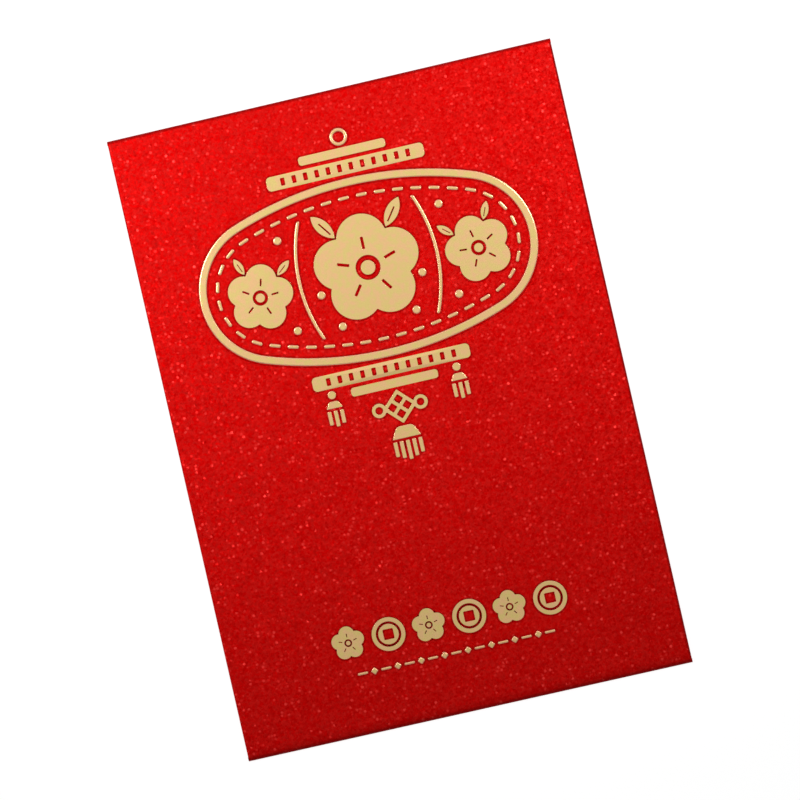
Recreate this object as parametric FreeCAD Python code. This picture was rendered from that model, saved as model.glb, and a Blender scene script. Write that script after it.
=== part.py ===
"""Red gift packet: a small money envelope folded from one sheet of glitter paper, with a gold foil ornament.

The packet lies on its back, front face up. X runs across the width, Y up the height and Z through the
thickness. The origin is the centre of the packet's outline, on the surface that it rests on. Sizes are in mm.

The sheet is one die-cut blank. Its plies lie over each other like this, from the table up:

    closure flap and bottom flap | glue | back panel | glue | side tab | pocket | front panel | foil

Each crease is a half-round bend that reaches from the ply it leaves to the front panel.
"""

import FreeCAD
import Part
import math
import os

from FreeCAD import Vector

# ---- the sheet and the packet's outline ----
packet_width = 82.0
packet_height = 115.0
paper = 0.30
glue_film = 0.05
pocket_gap = 0.30

# ---- the folded parts of the sheet ----
tab_width = 12.0
tab_end_inset = 1.6
tab_mitre_deg = 25.0
back_edge_setback = 1.0
back_end_clearance = 0.4
mouth_dip = 2.2
mouth_dip_run = 9.0
mouth_corner_radius = 8.0
crease_relief = 0.1
bottom_flap_depth = 14.0
bottom_flap_taper_deg = 14.0
bottom_flap_radius = 2.5
closure_flap_depth = 31.0
closure_flap_taper_deg = 9.0
closure_flap_radius = 9.0
glue_inset = 2.5

# ---- the foil ornament: line widths and the gaps between its motifs ----
foil = 0.05
bold_line = 1.4
fine_line = 0.6
motif_gap = 0.7
hanging_gap = 0.4

# ---- the lantern, from its hanging ring down ----
ornament_top_margin = 7.1
ornament_side_margin = 10.0
ring_radius = 1.6
crown_width = 16.0
crown_height = 1.6
cap_width = 29.0
cap_height = 2.6
cap_slot_width = 0.8
cap_slot_height = 1.4
cap_slot_pitch = 2.1
lantern_height = 33.0
lantern_rise = 3.0
stitch_inset = 3.4
stitch_length = 2.0
stitch_gap = 1.3
knot_side = 4.4
knot_ear_radius = 1.3
tassel_length = 6.2
tassel_strands = 5
drop_tassel_inset = 3.0
drop_tassel_length = 4.6
drop_tassel_strands = 3
strand_width = 0.7
strand_gap = 0.45

# ---- what fills the lantern ----
rib_clearance = 2.6
rib_bow = 2.2
large_blossom_margin = 3.0
side_blossom_margin = 1.1
side_blossom_turn_deg = 14.0
side_blossom_drop = 1.0
large_leaf_length = 5.8
small_leaf_length = 3.4
leaf_slenderness = 2.5
bud_radius = 0.75

# ---- the border near the foot ----
border_foot_margin = 11.1
border_count = 6
border_motif_radius = 3.05
border_gap = 1.35
coin_hole_side = 1.9
coin_ring_width = 0.75
coin_groove = 0.45
bead_line_drop = 2.9
bead_dashes = 9
bead_dash_length = 1.9
bead_dash_width = 0.45
bead_lozenge = 1.0
bead_gap = 0.5

# ---- levels of the plies, from the table up ----
flap_level = 0.0
back_level = flap_level + paper + glue_film
tab_level = back_level + paper + glue_film
front_level = tab_level + paper + pocket_gap
front_face = front_level + paper

# ---- the packet's edges, and the outer radius of the bend at each ----
side_edge = packet_width / 2
end_edge = packet_height / 2
left_bend = (front_face - tab_level) / 2
right_bend = (front_face - back_level) / 2
end_bend = (front_face - flap_level) / 2

# ---- the lines where the bends meet the flat panels ----
left_line = -side_edge + left_bend
right_line = side_edge - right_bend
foot_line = -end_edge + end_bend
crease_line = end_edge - end_bend

across = Vector(1, 0, 0)
along = Vector(0, 1, 0)
up = Vector(0, 0, 1)


# ---- outlines and plates ----


def rounded_outline(corners):
    """A closed wire through corners given as (x, y, radius), with an arc at each corner that has a radius."""
    points = [Vector(x, y, 0) for x, y, _ in corners]
    edges = []
    ends = []
    for i, (_, _, radius) in enumerate(corners):
        here = points[i]
        back = (points[i - 1] - here).normalize()
        ahead = (points[(i + 1) % len(points)] - here).normalize()
        half = back.getAngle(ahead) / 2
        start = here + back * (radius / math.tan(half))
        end = here + ahead * (radius / math.tan(half))
        if radius:
            inwards = (back + ahead).normalize()
            middle = here + inwards * (radius / math.sin(half) - radius)
            edges.append(Part.Arc(start, middle, end).toShape())
        ends.append((start, end))
    for i, (_, end) in enumerate(ends):
        following = ends[(i + 1) % len(ends)][0]
        if end.distanceToPoint(following) > 1e-6:
            edges.append(Part.makeLine(end, following))
    return Part.Wire(Part.__sortEdges__(edges))


def plate(shape, level, thickness):
    """A sheet of a flat shape, with its underside at a level."""
    sheet = shape.extrude(up * thickness)
    sheet.translate(up * level)
    return sheet


def paper_ply(corners, level):
    return plate(Part.Face(rounded_outline(corners)), level, paper)


def bend(start, run, outward, level, radius):
    """A crease: half a ring of paper from a start point along a run, bulging outward.

    Its lower ply lies at the level and its upper ply in the front panel.
    """
    centre = start + up * (level + radius)
    inner = radius - paper
    section = Part.Wire(
        [
            Part.Arc(centre - up * radius, centre + outward * radius, centre + up * radius).toShape(),
            Part.makeLine(centre + up * radius, centre + up * inner),
            Part.Arc(centre + up * inner, centre + outward * inner, centre - up * inner).toShape(),
            Part.makeLine(centre - up * inner, centre - up * radius),
        ]
    )
    return Part.Face(section).extrude(run)


# ---- the folded sheet ----

crease_left = left_line + crease_relief
crease_right = right_line - crease_relief


def front_panel():
    corners = [
        (left_line, foot_line, 0),
        (right_line, foot_line, 0),
        (right_line, crease_line, 0),
        (left_line, crease_line, 0),
    ]
    return paper_ply(corners, front_level)


def side_fold(line, outward, level, radius):
    """A long fold at the packet's side, over its full height."""
    return bend(Vector(line, -end_edge, 0), along * packet_height, outward, level, radius)


def end_fold(line, outward):
    """A fold at the packet's top or foot, a little short of the side folds so that the sheet doesn't tear."""
    return bend(Vector(crease_left, line, 0), across * (crease_right - crease_left), outward, flap_level, end_bend)


def back_panel():
    """The full back. Its mouth edge starts just under the flap's crease and dips away from it."""
    left = -side_edge + back_edge_setback
    bottom = foot_line + back_end_clearance
    top = crease_line - back_end_clearance
    corners = [
        (left, bottom, 0),
        (right_line, bottom, 0),
        (right_line, top, 0),
        (right_line - mouth_dip_run, top - mouth_dip, mouth_corner_radius),
        (left + mouth_dip_run, top - mouth_dip, mouth_corner_radius),
        (left, top, 0),
    ]
    return paper_ply(corners, back_level)


tab_edge = -side_edge + tab_width
tab_mitre = (tab_edge - left_line) * math.tan(math.radians(tab_mitre_deg))


def side_tab():
    """The tab that the back panel is glued to, with mitred ends that keep the corners of the packet thin."""
    bottom = foot_line + tab_end_inset
    top = crease_line - tab_end_inset
    corners = [
        (left_line, bottom, 0),
        (tab_edge, bottom + tab_mitre, 0),
        (tab_edge, top - tab_mitre, 0),
        (left_line, top, 0),
    ]
    return paper_ply(corners, tab_level)


def tapered_flap(root, free, taper_deg, radius):
    """A flap from its crease to its free edge, narrower at the free edge and rounded at its corners."""
    narrowing = abs(free - root) * math.tan(math.radians(taper_deg))
    corners = [
        (crease_left, root, 0),
        (crease_right, root, 0),
        (crease_right - narrowing, free, radius),
        (crease_left + narrowing, free, radius),
    ]
    return paper_ply(corners, flap_level)


bottom_flap_edge = -end_edge + bottom_flap_depth
closure_flap_edge = end_edge - closure_flap_depth


def bottom_flap():
    return tapered_flap(foot_line, bottom_flap_edge, bottom_flap_taper_deg, bottom_flap_radius)


def closure_flap():
    return tapered_flap(crease_line, closure_flap_edge, closure_flap_taper_deg, closure_flap_radius)


def side_glue():
    """The glue line between the side tab and the back panel, inset from the edges of both."""
    outer = -side_edge + back_edge_setback + glue_inset
    inner = tab_edge - glue_inset
    length = crease_line - foot_line - 2 * (tab_end_inset + tab_mitre)
    line = stroke(Vector((outer + inner) / 2, 0, 0), along, length, inner - outer)
    return plate(line, back_level + paper, glue_film)


def bottom_glue():
    """The glue line between the bottom flap and the back panel, inset from the edges of both."""
    bottom = foot_line + back_end_clearance + glue_inset
    top = bottom_flap_edge - glue_inset
    narrowing = bottom_flap_depth * math.tan(math.radians(bottom_flap_taper_deg))
    length = crease_right - crease_left - 2 * (narrowing + glue_inset)
    middle = Vector((crease_left + crease_right) / 2, (bottom + top) / 2, 0)
    return plate(stroke(middle, across, length, top - bottom), flap_level + paper, glue_film)


# ---- foil shapes ----


def disc(x, y, radius):
    return Part.Face(Part.Wire(Part.makeCircle(radius, Vector(x, y, 0))))


def ring(x, y, radius, width):
    return disc(x, y, radius).cut(disc(x, y, radius - width))


def stroke(middle, direction, length, width):
    """A short straight stroke, centred on a point and laid along a direction."""
    reach = Vector(direction).normalize() * (length / 2)
    side = up.cross(reach).normalize() * (width / 2)
    corners = [middle - reach - side, middle + reach - side, middle + reach + side, middle - reach + side]
    return Part.Face(Part.makePolygon([*corners, corners[0]]))


def dot(x, y, radius):
    """A small round spot, drawn with twelve sides."""
    points = [Vector(x, y, 0) + towards(30 * i + 15) * radius for i in range(12)]
    return Part.Face(Part.makePolygon([*points, points[0]]))


def block(x, y, width, height, radius):
    """A rounded rectangle about its centre."""
    left, right = x - width / 2, x + width / 2
    bottom, top = y - height / 2, y + height / 2
    corners = [(left, bottom, radius), (right, bottom, radius), (right, top, radius), (left, top, radius)]
    return Part.Face(rounded_outline(corners))


def united(shapes):
    """Overlapping flat shapes as one, without inner edges."""
    return shapes[0].fuse(shapes[1:]).removeSplitter()


def turned(shape, x, y, degrees=0):
    """A copy of a shape drawn about the origin, turned and then moved to a place."""
    copy = shape.copy()
    copy.rotate(Vector(0, 0, 0), up, degrees)
    copy.translate(Vector(x, y, 0))
    return copy


def towards(degrees):
    return Vector(math.cos(math.radians(degrees)), math.sin(math.radians(degrees)), 0)


petal_share = 0.465
petal_gap_share = 0.775
heart_share = 0.23


def blossom(radius):
    """A plum blossom about the origin: five round petals, a ring round its middle, and five stamens."""
    petal = radius * petal_share
    reach = radius - petal
    heart = radius * heart_share
    petals = [disc(0, 0, reach * 0.8)]
    cuts = [disc(0, 0, heart)]
    for i in range(5):
        way = towards(90 + 72 * i)
        petals.append(disc(reach * way.x, reach * way.y, petal))
        cuts.append(stroke(way * (heart * 2), way, heart, radius * 0.055))
    return [united(petals).cut(united(cuts)), disc(0, 0, heart * 0.58)]


def leaf(length):
    """A pointed leaf from the origin along X, with a slit for its midrib."""
    half = length / leaf_slenderness / 2
    tip = across * length
    middle = across * (length / 2)
    upper = Part.Arc(Vector(0, 0, 0), middle + along * half, tip).toShape()
    lower = Part.Arc(tip, middle - along * half, Vector(0, 0, 0)).toShape()
    slit = stroke(across * (length * 0.42), across, length * 0.5, half * 0.24)
    return Part.Face(Part.Wire([upper, lower])).cut(slit)


def leaf_beside(x, y, radius, degrees, length):
    """A leaf that grows out of the gap between two petals of a blossom."""
    foot = towards(degrees) * (radius * petal_gap_share + hanging_gap)
    return turned(leaf(length), x + foot.x, y + foot.y, degrees)


# ---- the lantern's places, from its hanging ring down ----
lantern_width = packet_width - 2 * ornament_side_margin
ring_y = end_edge - ornament_top_margin - ring_radius
crown_y = ring_y - ring_radius - hanging_gap - crown_height / 2
cap_y = crown_y - crown_height / 2 - motif_gap - cap_height / 2
lantern_y = cap_y - cap_height / 2 - motif_gap - lantern_height / 2
collar_y = lantern_y - lantern_height / 2 - motif_gap - cap_height / 2
base_y = collar_y - cap_height / 2 - motif_gap - crown_height / 2
knot_reach = knot_side / math.sqrt(2)
knot_y = base_y - crown_height / 2 - hanging_gap - knot_reach
tassel_y = knot_y - knot_reach - hanging_gap


def oval(inset):
    """The lantern's outline, moved inwards by an inset: two round ends joined by two flatter arcs."""
    end_radius = lantern_height / 2 - lantern_rise
    end_x = lantern_width / 2 - end_radius
    depth = (end_x**2 - lantern_rise**2) / (2 * lantern_rise)
    span = math.hypot(end_x, depth)
    end_radius -= inset
    centre = Vector(0, lantern_y, 0)
    join = Vector(end_x + end_radius * end_x / span, end_radius * depth / span, 0)
    tip = Vector(end_x + end_radius, 0, 0)
    crest = Vector(0, lantern_height / 2 - inset, 0)
    mirrored = Vector(-join.x, join.y, 0)
    arcs = [
        Part.Arc(centre - mirrored, centre + tip, centre + join),
        Part.Arc(centre + join, centre + crest, centre + mirrored),
        Part.Arc(centre + mirrored, centre - tip, centre - join),
        Part.Arc(centre - join, centre - crest, centre - mirrored),
    ]
    return Part.Wire([arc.toShape() for arc in arcs])


def lantern_outline():
    return [Part.Face(oval(0)).cut(Part.Face(oval(bold_line)))]


def lantern_stitches():
    """Short strokes spaced evenly round the inside of the outline, like running stitches."""
    path = oval(stitch_inset)
    count = round(path.Length / (stitch_length + stitch_gap))
    points = path.discretize(Number=2 * count + 1)
    strokes = []
    for i in range(count):
        before, middle, after = points[2 * i], points[2 * i + 1], points[(2 * i + 2) % (2 * count)]
        strokes.append(stroke(middle, after - before, stitch_length, fine_line))
    return strokes


# ---- the lantern's fields: a middle one between two ribs, and one at each side ----
field_half_height = lantern_height / 2 - stitch_inset - fine_line / 2
field_half_width = lantern_width / 2 - stitch_inset - fine_line / 2
large_radius = field_half_height - large_blossom_margin
rib_x = large_radius + rib_clearance + fine_line / 2
side_field = field_half_width - rib_x - fine_line / 2
side_radius = min(side_field / 2, field_half_height - side_blossom_drop) - side_blossom_margin
side_x = rib_x + fine_line / 2 + side_field / 2
side_y = lantern_y - side_blossom_drop


def lantern_ribs():
    """Two bowed lines that part the lantern into three fields."""
    reach = field_half_height - motif_gap - lantern_rise * (rib_x / lantern_width) * 2
    half = fine_line / 2
    ribs = []
    for side in (-1, 1):
        end_x = side * (rib_x - rib_bow)
        middle_x = side * rib_x
        top = Vector(end_x, lantern_y + reach, 0)
        foot = Vector(end_x, lantern_y - reach, 0)
        middle = Vector(middle_x, lantern_y, 0)
        shift = across * half
        wire = Part.Wire(
            [
                Part.Arc(foot + shift, middle + shift, top + shift).toShape(),
                Part.makeLine(top + shift, top - shift),
                Part.Arc(top - shift, middle - shift, foot - shift).toShape(),
                Part.makeLine(foot - shift, foot + shift),
            ]
        )
        ribs.append(Part.Face(wire))
    return ribs


def large_blossom():
    return [turned(s, 0, lantern_y) for s in blossom(large_radius)]


def side_blossoms():
    shapes = []
    for side in (-1, 1):
        for s in blossom(side_radius):
            shapes.append(turned(s, side * side_x, side_y, side * side_blossom_turn_deg))
    return shapes


def leaves():
    """Leaves in the upper gaps between the petals of each blossom."""
    shapes = []
    for degrees in (54, 126):
        shapes.append(leaf_beside(0, lantern_y, large_radius, degrees, large_leaf_length))
    for side in (-1, 1):
        for gap in (54, 126):
            degrees = gap + side * side_blossom_turn_deg
            shapes.append(leaf_beside(side * side_x, side_y, side_radius, degrees, small_leaf_length))
    return shapes


def buds():
    """Round dots in the small spaces round the blossoms."""
    shapes = []
    for degrees in (198, 234, 306, 342):
        outside = 1.0 if degrees in (198, 342) else 1.18
        spot = towards(degrees) * (large_radius * outside)
        shapes.append(dot(spot.x, lantern_y + spot.y, bud_radius))
    x = rib_x + motif_gap + 2 * bud_radius
    y = field_half_height - 6 * bud_radius
    for spot_x in (-x, x):
        for spot_y in (-y, y):
            shapes.append(dot(spot_x, lantern_y + spot_y, bud_radius))
    return shapes


def fretted_band(y):
    """A band with a row of upright slots, like the wooden rim of a lantern."""
    count = int((cap_width - 2 * bold_line) / cap_slot_pitch)
    slots = []
    for i in range(count):
        x = (i - (count - 1) / 2) * cap_slot_pitch
        slots.append(stroke(Vector(x, y, 0), along, cap_slot_height, cap_slot_width))
    return block(0, y, cap_width, cap_height, cap_height * 0.3).cut(Part.Compound(slots))


def top_cap():
    return [fretted_band(cap_y), block(0, crown_y, crown_width, crown_height, crown_height * 0.35)]


def hanging_ring():
    return [ring(0, ring_y, ring_radius, fine_line)]


def bottom_collar():
    return [fretted_band(collar_y), block(0, base_y, crown_width, crown_height, crown_height * 0.35)]


def knot():
    """A woven lozenge of four windows with an ear at each side."""
    window = (knot_side - 3 * fine_line) / 2
    offset = (window + fine_line) / 2
    outline = [turned(block(0, 0, knot_side, knot_side, 0), 0, knot_y, 45)]
    holes = []
    for x in (-offset, offset):
        for y in (-offset, offset):
            holes.append(turned(block(x, y, window, window, 0), 0, knot_y, 45))
    for side in (-1, 1):
        x = side * (knot_reach + knot_ear_radius - fine_line)
        outline.append(disc(x, knot_y, knot_ear_radius))
        holes.append(disc(x, knot_y, knot_ear_radius - fine_line))
    return [united(outline).cut(Part.Compound(holes))]


def tassel(x, top, length, strands):
    """A bell with strands that hang from it, longest in the middle."""
    pitch = strand_width + strand_gap
    width = strands * pitch - strand_gap
    bell = width * 0.42
    corners = [
        (x - width / 2, top - bell, 0),
        (x + width / 2, top - bell, 0),
        (x + width * 0.28, top, width * 0.2),
        (x - width * 0.28, top, width * 0.2),
    ]
    shapes = [Part.Face(rounded_outline(corners))]
    strand_top = top - bell - strand_gap
    for i in range(strands):
        place = i - (strands - 1) / 2
        strand = length - bell - strand_gap - abs(place) * strand_width * 0.6
        middle = Vector(x + place * pitch, strand_top - strand / 2, 0)
        shapes.append(stroke(middle, along, strand, strand_width))
    return shapes


def middle_tassel():
    return tassel(0, tassel_y, tassel_length, tassel_strands)


def drop_tassels():
    """A smaller tassel under each end of the collar, hung on a bead."""
    bead_y = collar_y - cap_height / 2 - hanging_gap - bud_radius
    shapes = []
    for side in (-1, 1):
        x = side * (cap_width / 2 - drop_tassel_inset)
        shapes.append(dot(x, bead_y, bud_radius))
        shapes += tassel(x, bead_y - bud_radius - hanging_gap, drop_tassel_length, drop_tassel_strands)
    return shapes


# ---- the border's places ----
bead_y = -end_edge + border_foot_margin
border_y = bead_y + bead_line_drop + border_motif_radius
border_pitch = 2 * border_motif_radius + border_gap


def border_places(first):
    """X of every second place in the border, from its first or its second one."""
    return [(i - (border_count - 1) / 2) * border_pitch for i in range(first, border_count, 2)]


def border_blossoms():
    flower = blossom(border_motif_radius)
    return [turned(s, x, border_y) for x in border_places(0) for s in flower]


def border_coins():
    """Round coins with a square hole and a groove inside the rim."""
    shapes = []
    for x in border_places(1):
        shapes.append(ring(x, border_y, border_motif_radius, coin_ring_width))
        middle = disc(x, border_y, border_motif_radius - coin_ring_width - coin_groove)
        shapes.append(middle.cut(block(x, border_y, coin_hole_side, coin_hole_side, 0)))
    return shapes


def bead_line():
    """A fine line of dashes and lozenges under the border."""
    pitch = bead_dash_length + bead_lozenge * math.sqrt(2) + 2 * bead_gap
    lozenge = block(0, 0, bead_lozenge, bead_lozenge, 0)
    shapes = []
    for i in range(bead_dashes):
        x = (i - (bead_dashes - 1) / 2) * pitch
        shapes.append(stroke(Vector(x, bead_y, 0), across, bead_dash_length, bead_dash_width))
        if i:
            shapes.append(turned(lozenge, x - pitch / 2, bead_y, 45))
    return shapes


# ---- every piece by its name ----

sheet_parts = {
    "front_panel": front_panel(),
    "left_fold": side_fold(left_line, -across, tab_level, left_bend),
    "right_fold": side_fold(right_line, across, back_level, right_bend),
    "bottom_fold": end_fold(foot_line, -along),
    "flap_crease": end_fold(crease_line, along),
    "back_panel": back_panel(),
    "side_tab": side_tab(),
    "bottom_flap": bottom_flap(),
    "closure_flap": closure_flap(),
    "side_glue": side_glue(),
    "bottom_glue": bottom_glue(),
}

foil_parts = {
    "foil_hanging_ring": hanging_ring(),
    "foil_top_cap": top_cap(),
    "foil_lantern_outline": lantern_outline(),
    "foil_lantern_stitches": lantern_stitches(),
    "foil_lantern_ribs": lantern_ribs(),
    "foil_large_blossom": large_blossom(),
    "foil_side_blossoms": side_blossoms(),
    "foil_leaves": leaves(),
    "foil_buds": buds(),
    "foil_bottom_collar": bottom_collar(),
    "foil_knot": knot(),
    "foil_middle_tassel": middle_tassel(),
    "foil_drop_tassels": drop_tassels(),
    "foil_border_blossoms": border_blossoms(),
    "foil_border_coins": border_coins(),
    "foil_bead_line": bead_line(),
}


def stamped(shapes):
    """A motif's foil: each of its flat shapes as a film on the front panel's face."""
    return Part.Compound([plate(face, front_face, foil) for shape in shapes for face in shape.Faces])


def main():
    os.makedirs("parts", exist_ok=True)
    parts = dict(sheet_parts)
    for name, shapes in foil_parts.items():
        parts[name] = stamped(shapes)
    for name, shape in parts.items():
        if not shape.isValid():
            print("not valid:", name)
        print(f"{name:22s} {len(shape.Solids):3d} solids {shape.Volume:9.3f} mm3")
        shape.exportStep(f"parts/{name}.step")
    print(f"thickness {front_face:.2f}, the flap turns about y {crease_line:.2f}, z {end_bend:.2f}")


main()
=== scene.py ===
import math

import bmesh
import bpy
from mathutils import Matrix, Vector


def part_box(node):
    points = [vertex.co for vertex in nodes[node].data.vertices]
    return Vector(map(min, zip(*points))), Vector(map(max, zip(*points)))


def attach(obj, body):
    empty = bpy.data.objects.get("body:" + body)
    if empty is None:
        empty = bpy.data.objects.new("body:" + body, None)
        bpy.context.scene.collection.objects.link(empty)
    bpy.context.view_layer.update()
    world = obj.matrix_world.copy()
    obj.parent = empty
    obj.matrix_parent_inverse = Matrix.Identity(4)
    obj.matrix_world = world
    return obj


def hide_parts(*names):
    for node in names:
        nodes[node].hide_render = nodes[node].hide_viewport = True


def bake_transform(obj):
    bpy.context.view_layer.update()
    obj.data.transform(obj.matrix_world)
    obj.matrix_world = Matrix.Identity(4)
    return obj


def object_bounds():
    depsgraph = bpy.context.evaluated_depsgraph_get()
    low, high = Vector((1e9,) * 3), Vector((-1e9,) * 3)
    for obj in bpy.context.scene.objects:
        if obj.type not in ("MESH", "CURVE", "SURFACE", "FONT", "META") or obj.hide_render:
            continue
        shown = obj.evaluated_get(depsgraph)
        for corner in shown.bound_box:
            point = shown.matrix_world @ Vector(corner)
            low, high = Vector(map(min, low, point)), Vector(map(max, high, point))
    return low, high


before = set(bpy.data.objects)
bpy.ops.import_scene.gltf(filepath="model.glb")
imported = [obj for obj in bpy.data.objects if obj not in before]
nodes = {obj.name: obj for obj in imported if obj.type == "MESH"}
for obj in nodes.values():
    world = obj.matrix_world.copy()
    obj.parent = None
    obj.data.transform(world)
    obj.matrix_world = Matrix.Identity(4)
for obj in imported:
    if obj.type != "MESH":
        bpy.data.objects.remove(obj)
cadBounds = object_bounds()
mm = 0.001
weldDistance = 0.001 * mm
closeEnough = 0.01 * mm  # two places this near count as the same
print("frame loaded with", len(nodes), "nodes")

# camera, at the photograph's viewing angle: close to straight above, turned about its axis

cameraValues = {
    "lens": 100,
    "sensor": 36,  # mm
    "nearest": 10,  # mm
    "place": (14.0, 1.1, 401.3),  # mm
    "turn": (-0.57, 1.89, -12.92),  # degrees
}

cameraData = bpy.data.cameras.new("camera")
cameraData.lens = cameraValues["lens"]
cameraData.sensor_width = cameraValues["sensor"]
cameraData.clip_start = cameraValues["nearest"] * mm
camera = bpy.data.objects.new("camera", cameraData)
camera.location = Vector(cameraValues["place"]) * mm
camera.rotation_euler = [math.radians(a) for a in cameraValues["turn"]]
bpy.context.scene.collection.objects.link(camera)
bpy.context.scene.camera = camera
bpy.context.scene.view_settings.view_transform = "Standard"

# shader helpers


def addNode(tree, kind, **settings):
    node = tree.nodes.new(kind)
    for key, value in settings.items():
        setattr(node, key, value)
    return node


def setInputs(node, **values):
    for key, value in values.items():
        node.inputs[key.replace("_", " ")].default_value = value
    return node


def makeGroup(name, inputs, outputs):
    group = bpy.data.node_groups.new(name, "ShaderNodeTree")
    for label, kind, value in inputs:
        socket = group.interface.new_socket(label, in_out="INPUT", socket_type=kind)
        if value is not None:
            socket.default_value = value
    for label, kind in outputs:
        group.interface.new_socket(label, in_out="OUTPUT", socket_type=kind)
    return group, group.nodes.new("NodeGroupInput"), group.nodes.new("NodeGroupOutput")


def useGroup(tree, group, **values):
    node = tree.nodes.new("ShaderNodeGroup")
    node.node_tree = group
    return setInputs(node, **values)


def mathNode(tree, operation, first, second, clamp=False):
    node = addNode(tree, "ShaderNodeMath", operation=operation, use_clamp=clamp)
    for socket, value in zip(node.inputs, (first, second)):
        if isinstance(value, (int, float)):
            socket.default_value = value
        else:
            tree.links.new(value, socket)
    return node.outputs["Value"]


def rangeNode(tree, value, fromMin, fromMax, toMin, toMax, smooth=False):
    node = addNode(tree, "ShaderNodeMapRange", interpolation_type="SMOOTHSTEP" if smooth else "LINEAR")
    tree.links.new(value, node.inputs["Value"])
    node.inputs["From Min"].default_value = fromMin
    node.inputs["From Max"].default_value = fromMax
    node.inputs["To Min"].default_value = toMin
    node.inputs["To Max"].default_value = toMax
    return node.outputs["Result"]


def mixColor(tree, factor, first, second):
    node = addNode(tree, "ShaderNodeMix", data_type="RGBA")
    for socket, value in zip((node.inputs[0], node.inputs[6], node.inputs[7]), (factor, first, second)):
        if isinstance(value, (int, float)):
            socket.default_value = value
        elif isinstance(value, tuple):
            socket.default_value = (*value, 1)
        else:
            tree.links.new(value, socket)
    return node.outputs[2]


def mixValue(tree, factor, first, second):
    node = addNode(tree, "ShaderNodeMix", data_type="FLOAT")
    for socket, value in zip(node.inputs[:1] + node.inputs[2:4], (factor, first, second)):
        if isinstance(value, (int, float)):
            socket.default_value = value
        else:
            tree.links.new(value, socket)
    return node.outputs[0]


def scaleColor(tree, color, factor):
    node = addNode(tree, "ShaderNodeVectorMath", operation="SCALE")
    if isinstance(color, tuple):
        node.inputs[0].default_value = color
    else:
        tree.links.new(color, node.inputs[0])
    tree.links.new(factor, node.inputs["Scale"])
    return node.outputs["Vector"]


def objectMillimetres(tree):
    coordinates = tree.nodes.new("ShaderNodeTexCoord")
    scale = addNode(tree, "ShaderNodeVectorMath", operation="SCALE")
    scale.inputs["Scale"].default_value = 1 / mm
    tree.links.new(coordinates.outputs["Object"], scale.inputs[0])
    return coordinates, scale.outputs["Vector"]


# two soft spots aimed at the packet's upper half in a pale room, so that its foot falls darker

lightValues = {
    "worldStrength": 0.16,
    "worldColor": (1.0, 0.99, 0.98),
    "backdropStrength": 1.0,  # white, where the camera sees the world
    "spotPower": 3.45,
    "spotAngle": 33.5,  # degrees, the whole cone
    "spotBlend": 1.0,
    "spotRadius": 0.07,  # m
    "spotPlaces": ((-0.22, 0.145, 0.37), (0.22, 0.145, 0.37)),  # m
    "spotAims": ((-0.06, 0.060, 0.0), (0.06, 0.060, 0.0)),  # m
    "skyInGloss": (0.50, 1.0),  # how much of the white room the gloss mirrors, towards the foot and the head
    "skyTurns": (-0.15, 0.1045),  # y of the mirrored direction, where it leaves the one and reaches the other
}


def addSpot(name, place, aim):
    v = lightValues
    data = bpy.data.lights.new(name, "SPOT")
    data.energy = v["spotPower"]
    data.spot_size = math.radians(v["spotAngle"])
    data.spot_blend = v["spotBlend"]
    data.shadow_soft_size = v["spotRadius"]
    lamp = bpy.data.objects.new(name, data)
    lamp.location = place
    lamp.rotation_euler = (Vector(aim) - Vector(place)).to_track_quat("-Z", "Y").to_euler()
    lamp.visible_camera = False
    bpy.context.scene.collection.objects.link(lamp)


def makeWorld():
    v = lightValues
    world = bpy.data.worlds.new("studio")
    world.use_nodes = True
    tree = world.node_tree
    room = tree.nodes["Background"]
    room.inputs["Color"].default_value = (*v["worldColor"], 1)
    room.inputs["Strength"].default_value = v["worldStrength"]
    white = tree.nodes.new("ShaderNodeBackground")
    white.inputs["Color"].default_value = (1, 1, 1, 1)
    white.inputs["Strength"].default_value = v["backdropStrength"]
    direction = tree.nodes.new("ShaderNodeSeparateXYZ")
    tree.links.new(tree.nodes.new("ShaderNodeTexCoord").outputs["Generated"], direction.inputs["Vector"])
    mirrored = rangeNode(tree, direction.outputs["Y"], *v["skyTurns"], *v["skyInGloss"])
    ray = tree.nodes.new("ShaderNodeLightPath")
    glossy = mathNode(tree, "MULTIPLY", ray.outputs["Is Glossy Ray"], mirrored)
    seen = mathNode(tree, "MAXIMUM", ray.outputs["Is Camera Ray"], ray.outputs["Is Transmission Ray"])
    mix = tree.nodes.new("ShaderNodeMixShader")
    tree.links.new(mathNode(tree, "MAXIMUM", seen, glossy), mix.inputs["Fac"])
    tree.links.new(room.outputs["Background"], mix.inputs[1])
    tree.links.new(white.outputs["Background"], mix.inputs[2])
    tree.links.new(mix.outputs["Shader"], tree.nodes["World Output"].inputs["Surface"])
    bpy.context.scene.world = world


for i, (place, aim) in enumerate(zip(lightValues["spotPlaces"], lightValues["spotAims"])):
    addSpot("spot%d" % i, place, aim)
makeWorld()
print("camera and lights placed")

# flakes: fine tilted facets for the ground, and sparse rounder ones that glint; their soft round mask also
# carries a painted highlight in the sheet's colour


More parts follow.
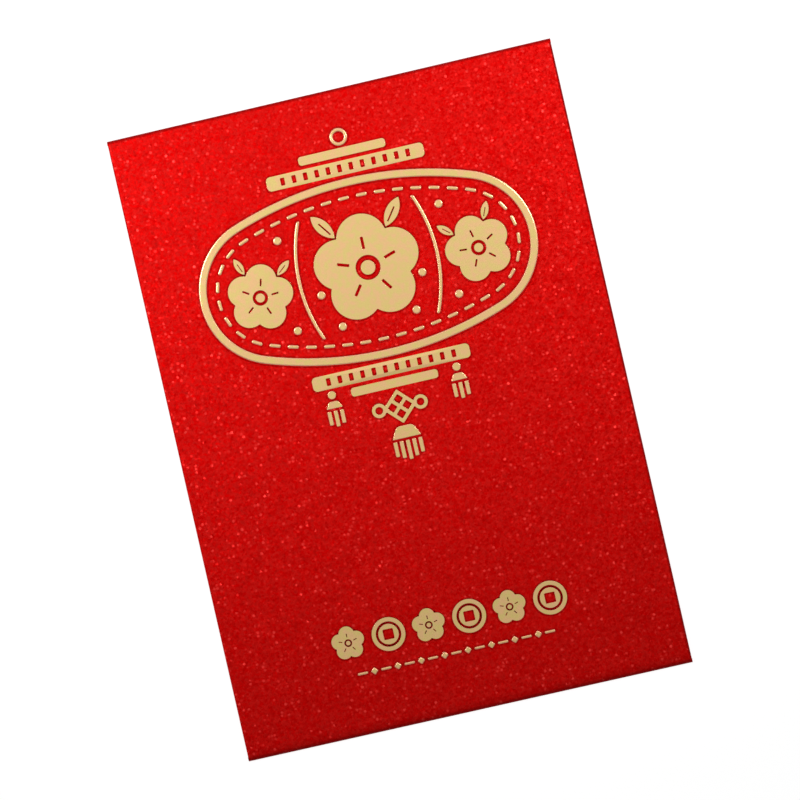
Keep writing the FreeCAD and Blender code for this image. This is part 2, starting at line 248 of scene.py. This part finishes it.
def makeFlakeGroup():
    group, source, result = makeGroup(
        "glitterFlakes",
        (
            ("Point", "NodeSocketVector", None),
            ("Fine per mm", "NodeSocketFloat", 3.6),
            ("Glints per mm", "NodeSocketFloat", 1.7),
            ("Glint Size", "NodeSocketFloat", 0.42),
            ("Glint Share", "NodeSocketFloat", 0.2),
            ("Fine Tilt", "NodeSocketFloat", 0.2),
            ("Glint Tilt", "NodeSocketFloat", 0.6),
        ),
        (("Shade", "NodeSocketFloat"), ("Glint", "NodeSocketFloat"), ("Normal", "NodeSocketVector")),
    )

    def facets(rate):
        cells = addNode(group, "ShaderNodeTexVoronoi", voronoi_dimensions="3D", feature="F1")
        group.links.new(source.outputs["Point"], cells.inputs["Vector"])
        group.links.new(source.outputs[rate], cells.inputs["Scale"])
        parts = group.nodes.new("ShaderNodeSeparateColor")
        group.links.new(cells.outputs["Color"], parts.inputs["Color"])
        return cells, parts

    def leaning(cells, amount):
        centred = addNode(group, "ShaderNodeVectorMath", operation="SUBTRACT")
        centred.inputs[1].default_value = (0.5, 0.5, 0.5)
        group.links.new(cells.outputs["Color"], centred.inputs[0])
        lean = addNode(group, "ShaderNodeVectorMath", operation="SCALE")
        group.links.new(centred.outputs["Vector"], lean.inputs[0])
        group.links.new(amount, lean.inputs["Scale"])
        return lean.outputs["Vector"]

    fine, fineParts = facets("Fine per mm")
    group.links.new(fineParts.outputs["Red"], result.inputs["Shade"])
    large, largeParts = facets("Glints per mm")
    near = mathNode(group, "DIVIDE", large.outputs["Distance"], source.outputs["Glint Size"])
    core = 0.25  # share of a glint's radius that is at full strength
    spot = rangeNode(group, near, 1.0, core, 0.0, 1.0, smooth=True)
    share = source.outputs["Glint Share"]
    chosen = mathNode(group, "SUBTRACT", largeParts.outputs["Green"], mathNode(group, "SUBTRACT", 1.0, share))
    chosen = mathNode(group, "DIVIDE", chosen, share, clamp=True)
    glint = mathNode(group, "MULTIPLY", spot, chosen)
    group.links.new(glint, result.inputs["Glint"])
    surface = group.nodes.new("ShaderNodeNewGeometry")
    total = addNode(group, "ShaderNodeVectorMath", operation="ADD")
    group.links.new(surface.outputs["Normal"], total.inputs[0])
    group.links.new(leaning(fine, source.outputs["Fine Tilt"]), total.inputs[1])
    whole = addNode(group, "ShaderNodeVectorMath", operation="ADD")
    group.links.new(total.outputs["Vector"], whole.inputs[0])
    glintLean = mathNode(group, "MULTIPLY", spot, source.outputs["Glint Tilt"])
    group.links.new(leaning(large, glintLean), whole.inputs[1])
    unit = addNode(group, "ShaderNodeVectorMath", operation="NORMALIZE")
    group.links.new(whole.outputs["Vector"], unit.inputs[0])
    group.links.new(unit.outputs["Vector"], result.inputs["Normal"])
    return group


# grain: soft blotches over a few millimetres with a fine fibre on top


def makeGrainGroup():
    group, source, result = makeGroup(
        "paperGrain",
        (
            ("Point", "NodeSocketVector", None),
            ("Blotches per mm", "NodeSocketFloat", 0.5),
            ("Fibres per mm", "NodeSocketFloat", 5.0),
        ),
        (("Blotch", "NodeSocketFloat"), ("Fibre", "NodeSocketFloat")),
    )
    for rate, detail, output in (("Blotches per mm", 2.0, "Blotch"), ("Fibres per mm", 3.0, "Fibre")):
        noise = addNode(group, "ShaderNodeTexNoise", noise_dimensions="3D")
        noise.inputs["Detail"].default_value = detail
        group.links.new(source.outputs["Point"], noise.inputs["Vector"])
        group.links.new(source.outputs[rate], noise.inputs["Scale"])
        group.links.new(noise.outputs["Fac"], result.inputs[output])
    return group


flakeGroup = makeFlakeGroup()
grainGroup = makeGrainGroup()
fibreSpan = (0.3, 0.7)  # most of the fibre noise lies between these

# the sheet: glitter on its outer side, plain dyed paper on its inner side and at its cut edges

glitterValues = {
    "ground": (0.80, 0.011, 0.0088),
    "darkGround": (0.74, 0.0005, 0.0005),
    # partly painted highlight: the glints' paler colour on soft round dots, beside the real tilt and metal of
    # their flakes
    "glint": (0.90, 0.043, 0.037),
    "finePerMm": 2.6,
    "glintsPerMm": 1.6,
    "glintSize": 0.66,
    "glintShare": 0.18,
    "fineTilt": 0.085,
    "glintTilt": 0.26,
    "roughness": 0.46,
    "glintRoughness": 0.32,
    "metallic": 0.35,
    "glintMetallic": 0.50,
    "specular": 0.01,
    "blotchesPerMm": 0.30,
    "fibresPerMm": 1.3,
    "noiseSpan": (0.35, 0.65),  # the part of the noise that goes from one shade to the other
    "blotchShade": (0.97, 1.03),
    "mottleShade": (0.93, 1.07),
    "inner": (0.62, 0.018, 0.016),  # the plain dyed side
    "innerShade": (0.94, 1.06),
    "innerRoughness": 0.85,
    "cutEdge": (0.70, 0.05, 0.04),
    "sideTilt": 0.3,  # height of the normal above which a face belongs to a side, not to the cut edge
    # painted groove shadow round the foil: the colour's scale where it is darkest
    "grooveShadowScale": 0.60,
    # painted shade on the creases: the colour's scale where it is darkest
    "paintedShadeScale": 0.12,
}


def newMaterial(name):
    material = bpy.data.materials.new(name)
    material.use_nodes = True
    return material, material.node_tree, material.node_tree.nodes["Principled BSDF"]


def maskAttribute(tree, name):
    return addNode(tree, "ShaderNodeAttribute", attribute_name=name).outputs["Fac"]


# side: 1 or -1 for a flat ply with its glitter up or down, "bend" for a crease, and the last kind for the
# ring of painted groove shadow round the foil


def makeSheetMaterial(name, side):
    v = glitterValues
    material, tree, surface = newMaterial(name)
    coordinates, point = objectMillimetres(tree)
    flakes = useGroup(
        tree, flakeGroup, Fine_per_mm=v["finePerMm"], Glints_per_mm=v["glintsPerMm"],
        Glint_Size=v["glintSize"], Glint_Share=v["glintShare"],
        Fine_Tilt=v["fineTilt"], Glint_Tilt=v["glintTilt"],
    )
    grain = useGroup(tree, grainGroup, Blotches_per_mm=v["blotchesPerMm"], Fibres_per_mm=v["fibresPerMm"])
    tree.links.new(point, flakes.inputs["Point"])
    tree.links.new(point, grain.inputs["Point"])
    blotch = rangeNode(tree, grain.outputs["Blotch"], *v["noiseSpan"], *v["blotchShade"])
    mottle = rangeNode(tree, grain.outputs["Fibre"], *v["noiseSpan"], *v["mottleShade"])
    ground = mixColor(tree, flakes.outputs["Shade"], v["darkGround"], v["ground"])
    ground = scaleColor(tree, ground, mathNode(tree, "MULTIPLY", blotch, mottle))
    # painted highlight: the glints get a paler colour; their tilt, roughness and metal below are real
    color = mixColor(tree, flakes.outputs["Glint"], ground, v["glint"])
    roughness = mixValue(tree, flakes.outputs["Glint"], v["roughness"], v["glintRoughness"])
    metallic = mixValue(tree, flakes.outputs["Glint"], v["metallic"], v["glintMetallic"])
    fibre = rangeNode(tree, grain.outputs["Fibre"], *fibreSpan, *v["innerShade"])
    plain = scaleColor(tree, v["inner"], fibre)
    if side in ("bend", 1):  # painted shade: the colour is darkened where the sheet turns over at the creases and along the panel's foot
        paintedCreaseShade = maskAttribute(tree, "paintedCreaseShade")
        color = scaleColor(tree, color, mixValue(tree, paintedCreaseShade, 1.0, v["paintedShadeScale"]))
    if side == "grooveShadow":  # painted shadow of the stamped groove: darkest against the foil, and more like the sheet round it at its outer edge
        grooveShadow = maskAttribute(tree, "grooveShadow")
        color = scaleColor(tree, color, mixValue(tree, grooveShadow, 1.0, v["grooveShadowScale"]))
    else:  # a crease carries its outer side as an attribute, and a flat ply shows it in the way it faces
        if side == "bend":
            outer = maskAttribute(tree, "outerSide")
            rest = plain
        else:
            facing = tree.nodes.new("ShaderNodeSeparateXYZ")
            tree.links.new(coordinates.outputs["Normal"], facing.inputs["Vector"])
            height = mathNode(tree, "MULTIPLY", facing.outputs["Z"], float(side))
            outer = mathNode(tree, "GREATER_THAN", height, v["sideTilt"])
            rest = mixColor(tree, mathNode(tree, "LESS_THAN", height, -v["sideTilt"]), v["cutEdge"], plain)
        color = mixColor(tree, outer, rest, color)
        roughness = mixValue(tree, outer, v["innerRoughness"], roughness)
        metallic = mathNode(tree, "MULTIPLY", outer, metallic)
    tree.links.new(color, surface.inputs["Base Color"])
    tree.links.new(roughness, surface.inputs["Roughness"])
    tree.links.new(metallic, surface.inputs["Metallic"])
    tree.links.new(flakes.outputs["Normal"], surface.inputs["Normal"])
    surface.inputs["Specular IOR Level"].default_value = v["specular"]
    return material


frontPaper = makeSheetMaterial("glitterPaperFront", 1)
backPaper = makeSheetMaterial("glitterPaperBack", -1)
bendPaper = makeSheetMaterial("glitterPaperBend", "bend")
grooveShadowPaper = makeSheetMaterial("glitterPaperGrooveShadow", "grooveShadow")

# the stamped foil

foilValues = {
    "warm": (0.84, 0.520, 0.245),
    "green": (0.76, 0.575, 0.205),
    "toneSpan": (0.38, 0.62),  # the part of the noise that goes from warm to green
    # painted highlight on the film's rounded rim
    "rim": (1.0, 0.50, 0.28),
    "rimTilt": (0.998, 0.985),  # height of the normal at which the painted rim highlight begins and is full
    "rimMetallic": 0.50,
    "specular": 0.1,
    "roughness": (0.19, 0.25),
    "blotchesPerMm": 0.9,
    "fibresPerMm": 3.5,
    "bumpStrength": 0.06,
    "bumpHeight": 0.02,  # mm
}


def makeFoilMaterial():
    v = foilValues
    material, tree, surface = newMaterial("stampedGold")
    coordinates, point = objectMillimetres(tree)
    grain = useGroup(tree, grainGroup, Blotches_per_mm=v["blotchesPerMm"], Fibres_per_mm=v["fibresPerMm"])
    tree.links.new(point, grain.inputs["Point"])
    tone = rangeNode(tree, grain.outputs["Blotch"], *v["toneSpan"], 0.0, 1.0)
    face = mixColor(tree, tone, v["warm"], v["green"])
    facing = tree.nodes.new("ShaderNodeSeparateXYZ")  # painted highlight: the colour is paler where the film rounds over at its rim, standing in for the light the rim catches
    tree.links.new(coordinates.outputs["Normal"], facing.inputs["Vector"])
    rim = rangeNode(tree, facing.outputs["Z"], *v["rimTilt"], 0.0, 1.0)
    tree.links.new(mixColor(tree, rim, face, v["rim"]), surface.inputs["Base Color"])
    rough = rangeNode(tree, grain.outputs["Fibre"], *fibreSpan, *v["roughness"])
    tree.links.new(rough, surface.inputs["Roughness"])
    tree.links.new(mixValue(tree, rim, 1.0, v["rimMetallic"]), surface.inputs["Metallic"])
    surface.inputs["Specular IOR Level"].default_value = v["specular"]
    bump = addNode(tree, "ShaderNodeBump")
    bump.inputs["Strength"].default_value = v["bumpStrength"]
    bump.inputs["Distance"].default_value = v["bumpHeight"] * mm
    tree.links.new(grain.outputs["Fibre"], bump.inputs["Height"])
    tree.links.new(bump.outputs["Normal"], surface.inputs["Normal"])
    return material


# the dried glue

glueValues = {
    "thin": (0.80, 0.74, 0.60),
    "thick": (0.88, 0.84, 0.74),
    "roughness": (0.3, 0.5),
    "blotchesPerMm": 0.4,
    "fibresPerMm": 2.0,
}


def makeGlueMaterial():
    v = glueValues
    material, tree, surface = newMaterial("driedGlue")
    coordinates, point = objectMillimetres(tree)
    grain = useGroup(tree, grainGroup, Blotches_per_mm=v["blotchesPerMm"], Fibres_per_mm=v["fibresPerMm"])
    tree.links.new(point, grain.inputs["Point"])
    color = mixColor(tree, grain.outputs["Blotch"], v["thin"], v["thick"])
    tree.links.new(color, surface.inputs["Base Color"])
    rough = rangeNode(tree, grain.outputs["Fibre"], *fibreSpan, *v["roughness"])
    tree.links.new(rough, surface.inputs["Roughness"])
    return material


foilMaterial = makeFoilMaterial()
glueMaterial = makeGlueMaterial()
print("materials made")

# every carried-over node gets its finish

finishes = {
    "back_panel": backPaper,
    "side_tab": backPaper,
    "bottom_flap": backPaper,
    "closure_flap": backPaper,
    "side_glue": glueMaterial,
    "bottom_glue": glueMaterial,
}
for name, material in finishes.items():
    nodes[name].data.materials.clear()
    nodes[name].data.materials.append(material)

# the creases, and where the front panel meets them

bendValues = {
    "steps": 24,
    "columns": 24,
    "corner": 0.8,  # mm, at each end, where a side crease gives way to the crease that runs across
    "lap": 0.03,  # mm that the head crease reaches back to the front panel, so that the open flap has room
    "shoulder": 0.5,  # height on the bend, as a share of its radius, below which the painted shade fades out
    # painted shade: where on the bend, as shares of its radius, the colour starts and ends going dark, and
    # how dark it gets
    "paintedShadeRamps": {
        "left_fold": (0.80, 1.00, 0.0),
        "right_fold": (0.0, 0.70, 0.57),
        "bottom_fold": (-0.50, 0.60, 0.62),
        "flap_crease": (0.0, 0.70, 0.53),
    },
}

# the front panel bows up a little between its creases

crownValues = {
    "rise": 0.35,  # mm
    "columns": 60,
    "rows": 84,
    "paintedFootShade": 0.28,  # how dark the painted shade is at the panel's lower edge
}
panelLow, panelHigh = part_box("front_panel")
frontFace = panelHigh.z


def crownAt(x, y):
    u = min(1.0, abs(x / panelHigh.x))
    w = min(1.0, abs(y / panelHigh.y))
    return crownValues["rise"] * mm * (1 - u**2) * (1 - w**2)


def addPiece(name, form, material):
    mesh = bpy.data.meshes.new(name)
    form.to_mesh(mesh)
    form.free()
    mesh.materials.append(material)
    piece = bpy.data.objects.new(name, mesh)
    bpy.context.scene.collection.objects.link(piece)
    return piece


def makeFrontPanel():
    form = bmesh.new()
    columns, rows = crownValues["columns"], crownValues["rows"]
    bmesh.ops.create_grid(form, x_segments=columns, y_segments=rows, size=0.5)
    lap = Vector((0, bendValues["lap"] * mm, 0))
    size = panelHigh - lap - panelLow
    middle = (panelHigh - lap + panelLow) / 2
    bmesh.ops.scale(form, vec=(size.x, size.y, 1), verts=form.verts)
    bmesh.ops.translate(form, vec=(middle.x, middle.y, frontFace), verts=form.verts)
    # painted shade along the panel's lower edge, where it meets the foot crease
    paintedCreaseShade = form.verts.layers.float.new("paintedCreaseShade")
    for vert in form.verts:
        vert.co.z += crownAt(vert.co.x, vert.co.y)
        vert[paintedCreaseShade] = crownValues["paintedFootShade"] if vert.co.y < panelLow.y + closeEnough else 0.0
    grown = bmesh.ops.extrude_face_region(form, geom=form.faces[:])
    lower = [g for g in grown["geom"] if isinstance(g, bmesh.types.BMVert)]
    bmesh.ops.translate(form, vec=(0, 0, -size.z), verts=lower)
    bmesh.ops.recalc_face_normals(form, faces=form.faces)
    return addPiece("frontPanelSheet", form, frontPaper)


frontPanel = makeFrontPanel()
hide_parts("front_panel")
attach(frontPanel, "pocket")
print("front panel made")

# the creases are half round strips, spun about their own axis

def makeBend(node, name, along):
    v = bendValues
    low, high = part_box(node)
    paper = panelHigh.z - panelLow.z
    outerRadius = (high.z - low.z) / 2
    middleRadius = outerRadius - paper / 2
    centre = (low + high) / 2
    if along == "x":
        centre.y = low.y if centre.y > 0 else high.y  # the axis lies at the bend's flat side
        axis, turn = Vector((1, 0, 0)), -math.pi if centre.y > 0 else math.pi
        centre.x = (cadBounds[0][0] + cadBounds[1][0]) / 2
        length = cadBounds[1][0] - cadBounds[0][0]
    else:
        centre.x = low.x if centre.x > 0 else high.x
        axis, turn = Vector((0, 1, 0)), math.pi if centre.x > 0 else -math.pi
        length = cadBounds[1][1] - cadBounds[0][1] - 2 * v["corner"] * mm
    form = bmesh.new()
    bmesh.ops.create_grid(form, x_segments=v["columns"], y_segments=1, size=0.5)
    bmesh.ops.scale(form, vec=(length, paper, 1), verts=form.verts)
    bmesh.ops.rotate(form, matrix=Matrix.Rotation(math.pi / 2, 3, "X"), verts=form.verts)
    if along == "y":
        bmesh.ops.rotate(form, matrix=Matrix.Rotation(math.pi / 2, 3, "Z"), verts=form.verts)
    bmesh.ops.translate(form, vec=centre + Vector((0, 0, middleRadius)), verts=form.verts)
    bmesh.ops.spin(
        form, geom=form.faces[:] + form.edges[:] + form.verts[:], cent=centre, axis=axis,
        angle=turn, steps=v["steps"], use_merge=False,
    )
    bmesh.ops.remove_doubles(form, verts=form.verts, dist=weldDistance)
    if node == "flap_crease":
        near = [
            f for f in form.faces
            if all(abs(p.co.y - centre.y) < closeEnough and p.co.z > centre.z for p in f.verts)
        ]
        grown = bmesh.ops.extrude_face_region(form, geom=near)
        reached = [g for g in grown["geom"] if isinstance(g, bmesh.types.BMVert)]
        bmesh.ops.translate(form, vec=(0, -v["lap"] * mm, 0), verts=reached)
        bmesh.ops.delete(form, geom=near, context="FACES")
    bmesh.ops.recalc_face_normals(form, faces=form.faces)
    outer = form.verts.layers.float.new("outerSide")
    # painted shade, darkening the crease towards its outer edge and fading out low on the bend
    paintedCreaseShade = form.verts.layers.float.new("paintedCreaseShade")
    first, last, most = v["paintedShadeRamps"][node]
    for vert in form.verts:
        away = vert.co - centre
        away -= axis * away.dot(axis)
        vert[outer] = 1.0 if away.length > middleRadius else 0.0
        out = math.hypot(away.x, away.y) / outerRadius
        dark = min(1.0, max(0.0, (out - first) / (last - first)))
        vert[paintedCreaseShade] = most * dark * min(1.0, max(0.0, away.z / (outerRadius * v["shoulder"])))
    piece = addPiece(name, form, bendPaper)
    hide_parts(node)
    return piece


for node, name, along in (
    ("left_fold", "leftBend", "y"),
    ("right_fold", "rightBend", "y"),
    ("bottom_fold", "footBend", "x"),
):
    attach(makeBend(node, name, along), "pocket")
creaseStrip = makeBend("flap_crease", "creaseStrip", "x")
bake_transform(creaseStrip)
print("creases made")

# each motif's foil is a film with rounded corners that pillows up inside its outline

filmValues = {
    "rise": 0.10,  # mm
    "leastHeight": 0.02,  # mm, a point of the foil this far above the panel is on its top
    "topTilt": 0.7,  # height of the normal above which a face is the foil's top or underside
    "mergeAngle": 1,  # degrees, faces that meet flatter than this become one
    "cornerAngle": 40,  # degrees, upright corners sharper than this are rounded
    "cornerRadius": 0.17,  # mm
    "lineEndRadius": {  # mm
        "foil_lantern_stitches": 0.28,
        "foil_lantern_ribs": 0.28,
        "foil_bead_line": 0.20,
    },
    "cornerSegments": 4,
    "rimWidth": 0.21,  # mm
    "rimSegments": 3,
    "rimFlatness": 2.5,  # how much wider than high the rounded rim is
    "flatFrom": 0.995,  # height of the normal from which a face belongs to the film's flat middle
    "pressWidth": 0.34,  # mm
    "pressDepth": 0.03,  # mm
    "pressLift": 0.006,  # mm above the panel, so that the ring of painted shadow shows and not the panel
    "grooveShadowAmounts": (0.85, 0.25),  # how dark the painted groove shadow is, at the foil and at its outer edge
}
filmTop = frontFace + filmValues["leastHeight"] * mm


def motifForm(node):
    v = filmValues
    form = bmesh.new()
    form.from_mesh(nodes[node].data)
    bmesh.ops.remove_doubles(form, verts=form.verts, dist=weldDistance)
    bmesh.ops.dissolve_limit(
        form, angle_limit=math.radians(v["mergeAngle"]), verts=form.verts, edges=form.edges
    )
    corners = []
    for edge in form.edges:
        a, b = (p.co for p in edge.verts)
        upright = abs(a.z - b.z) > v["leastHeight"] * mm and (a - b).to_2d().length < closeEnough
        if upright and edge.calc_face_angle(0) > math.radians(v["cornerAngle"]):
            corners.append(edge)
    if corners:
        radius = v["lineEndRadius"].get(node, v["cornerRadius"])
        bmesh.ops.bevel(
            form, geom=corners, offset=radius * mm, offset_type="OFFSET", segments=v["cornerSegments"],
            profile=0.5, affect="EDGES", material=-1, clamp_overlap=True,
        )
    form.normal_update()
    return form


def makeFoil(node):
    v = filmValues
    form = motifForm(node)
    stretched = v["rise"] * v["rimFlatness"] * mm  # the rim is rounded on a taller film, then pressed flat
    for vert in form.verts:
        if vert.co.z > filmTop:
            vert.co.z = frontFace + stretched
    form.normal_update()
    rims = []
    for edge in form.edges:
        flat = [abs(f.normal.z) > v["topTilt"] for f in edge.link_faces]
        if len(flat) == 2 and flat[0] != flat[1] and min(p.co.z for p in edge.verts) > filmTop:
            rims.append(edge)
    bmesh.ops.bevel(
        form, geom=rims, offset=v["rimWidth"] * mm, offset_type="OFFSET", segments=v["rimSegments"],
        profile=0.5, affect="EDGES", material=-1, clamp_overlap=True,
    )
    bmesh.ops.triangulate(form, faces=[f for f in form.faces if len(f.verts) > 4])
    for vert in form.verts:
        vert.co.z = frontFace + (vert.co.z - frontFace) / v["rimFlatness"] + crownAt(vert.co.x, vert.co.y)
    form.normal_update()
    for face in form.faces:  # the rim shades smooth, and the flat middle stays flat
        face.smooth = face.normal.z < v["flatFrom"]
    for edge in form.edges:
        edge.smooth = len(edge.link_faces) == 2 and edge.link_faces[0].smooth == edge.link_faces[1].smooth
    piece = addPiece(node.replace("foil_", "film_"), form, foilMaterial)
    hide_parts(node)
    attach(piece, "pocket")


# a thin flat ring round each motif carries a painted shadow, standing in for the shade in the groove that the
# stamping presses round the foil
def makeGrooveShadowRims(foilNodes):
    v = filmValues
    whole = bmesh.new()
    for node in foilNodes:
        form = motifForm(node)
        faces = [f for f in form.faces if abs(f.normal.z) > v["topTilt"]]
        bmesh.ops.delete(form, geom=faces, context="FACES")
        form.normal_update()
        grooveShadow = form.verts.layers.float.new("grooveShadow")
        for vert in form.verts:
            if vert.co.z < filmTop:
                vert.co += vert.normal * v["pressWidth"] * mm
                vert[grooveShadow] = v["grooveShadowAmounts"][1]
            else:
                vert[grooveShadow] = v["grooveShadowAmounts"][0]
        part = bpy.data.meshes.new("part")
        form.to_mesh(part)
        form.free()
        whole.from_mesh(part)
        bpy.data.meshes.remove(part)
    for vert in whole.verts:
        vert.co.z = frontFace + v["pressLift"] * mm + crownAt(vert.co.x, vert.co.y)
    grown = bmesh.ops.extrude_face_region(whole, geom=whole.faces[:])
    lower = [g for g in grown["geom"] if isinstance(g, bmesh.types.BMVert)]
    bmesh.ops.translate(whole, vec=(0, 0, -v["pressDepth"] * mm), verts=lower)
    bmesh.ops.recalc_face_normals(whole, faces=whole.faces)
    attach(addPiece("grooveShadowRims", whole, grooveShadowPaper), "pocket")


foilNodes = sorted(n for n in nodes if n.startswith("foil_"))
for node in foilNodes:
    makeFoil(node)
makeGrooveShadowRims(foilNodes)
print("foil made for", len(foilNodes), "motifs")

# the floor: near white to the camera and in reflections, and it keeps the packet's shadow

floorValues = {
    "size": 3.0,  # m
    "drop": 0.02,  # mm below the packet
    "color": (0.80, 0.80, 0.80),
    "roughness": 0.9,
    "shadowShare": 0.22,  # how much of the floor's own shading shows under the white
    "whiteStrength": 0.95,
}


def makeFloor():
    v = floorValues
    form = bmesh.new()
    bmesh.ops.create_grid(form, x_segments=1, y_segments=1, size=v["size"] / 2)
    bmesh.ops.translate(form, vec=(0, 0, -v["drop"] * mm), verts=form.verts)
    mesh = bpy.data.meshes.new("floor")
    form.to_mesh(mesh)
    form.free()
    floor = bpy.data.objects.new("floor", mesh)
    bpy.context.scene.collection.objects.link(floor)
    material, tree, surface = newMaterial("floorWhite")
    surface.inputs["Base Color"].default_value = (*v["color"], 1)
    surface.inputs["Roughness"].default_value = v["roughness"]
    surface.inputs["Specular IOR Level"].default_value = 0.0
    shading = tree.nodes.new("ShaderNodeBsdfDiffuse")
    shading.inputs["Color"].default_value = (v["shadowShare"],) * 3 + (1,)
    glow = tree.nodes.new("ShaderNodeEmission")
    glow.inputs["Color"].default_value = (1, 1, 1, 1)
    glow.inputs["Strength"].default_value = v["whiteStrength"]
    seenFloor = tree.nodes.new("ShaderNodeAddShader")
    tree.links.new(shading.outputs["BSDF"], seenFloor.inputs[0])
    tree.links.new(glow.outputs["Emission"], seenFloor.inputs[1])
    ray = tree.nodes.new("ShaderNodeLightPath")
    seen = mathNode(tree, "MAXIMUM", ray.outputs["Is Camera Ray"], ray.outputs["Is Glossy Ray"])
    mix = tree.nodes.new("ShaderNodeMixShader")
    tree.links.new(mathNode(tree, "MAXIMUM", seen, ray.outputs["Is Transmission Ray"]), mix.inputs["Fac"])
    tree.links.new(surface.outputs["BSDF"], mix.inputs[1])
    tree.links.new(seenFloor.outputs["Shader"], mix.inputs[2])
    tree.links.new(mix.outputs["Shader"], tree.nodes["Material Output"].inputs["Surface"])
    mesh.materials.append(material)


makeFloor()
print("floor made")
